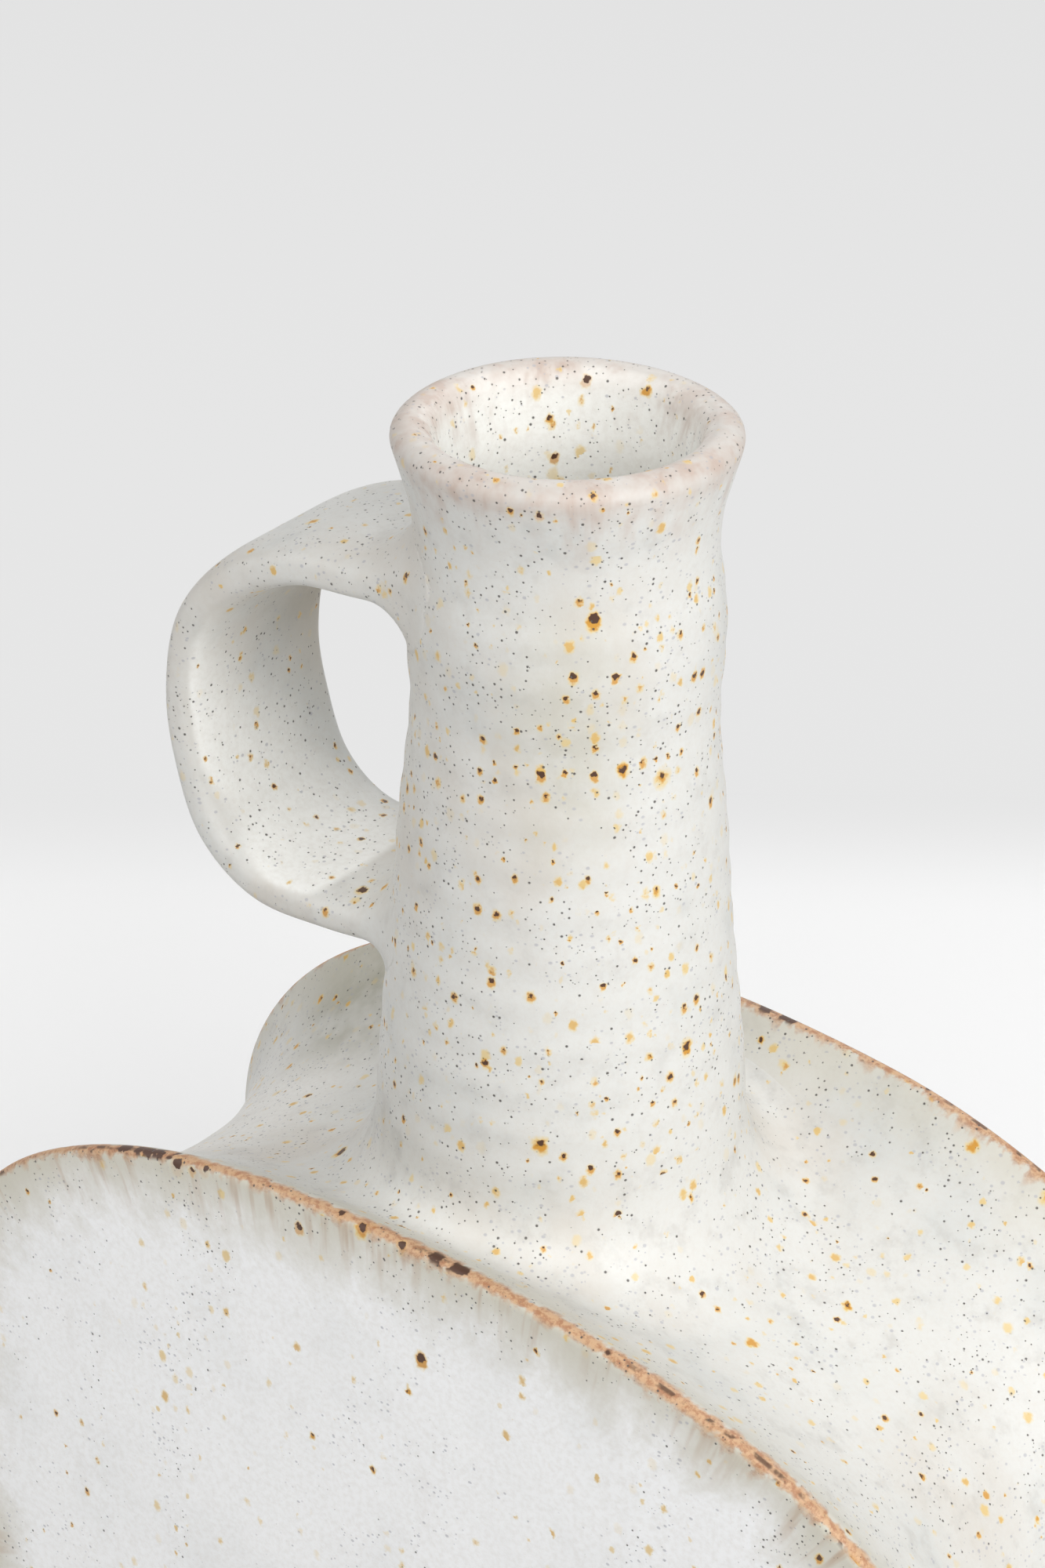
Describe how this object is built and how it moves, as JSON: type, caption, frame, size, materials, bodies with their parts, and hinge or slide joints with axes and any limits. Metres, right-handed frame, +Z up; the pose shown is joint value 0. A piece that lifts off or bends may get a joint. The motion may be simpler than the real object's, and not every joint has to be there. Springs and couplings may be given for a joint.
{
  "type": "handled vase",
  "caption": "Hand-built flask-shaped stoneware vase with two oval faces, a hollow channel round the edge, a tall flared neck and a strap handle.",
  "frame": {"origin": "centre of the flat foot that the vase stands on", "axes": "+Z up along the neck, +Y from the front face towards the back face, +X away from the handle, which lies towards -X"},
  "size_m": [0.24, 0.103, 0.3265],
  "materials": {
    "face_glaze": "satin cool white glaze with iron spots and a tan breaking edge",
    "channel_glaze": "satin warm white glaze with iron spots",
    "neck_glaze": "satin white glaze with pinholes and iron spots",
    "handle_glaze": "satin white glaze with iron spots",
    "inner_clay": "unglazed stoneware body"
  },
  "bodies": {
    "root": {"front_slab": "face_glaze", "back_slab": "face_glaze", "channel_band": "channel_glaze", "neck": "neck_glaze", "neck_foot_coil": "channel_glaze", "handle": "handle_glaze", "upper_handle_coil": "handle_glaze", "lower_handle_coil": "handle_glaze", "front_seam_coil": "inner_clay", "back_seam_coil": "inner_clay"}
  },
  "joints": []
}
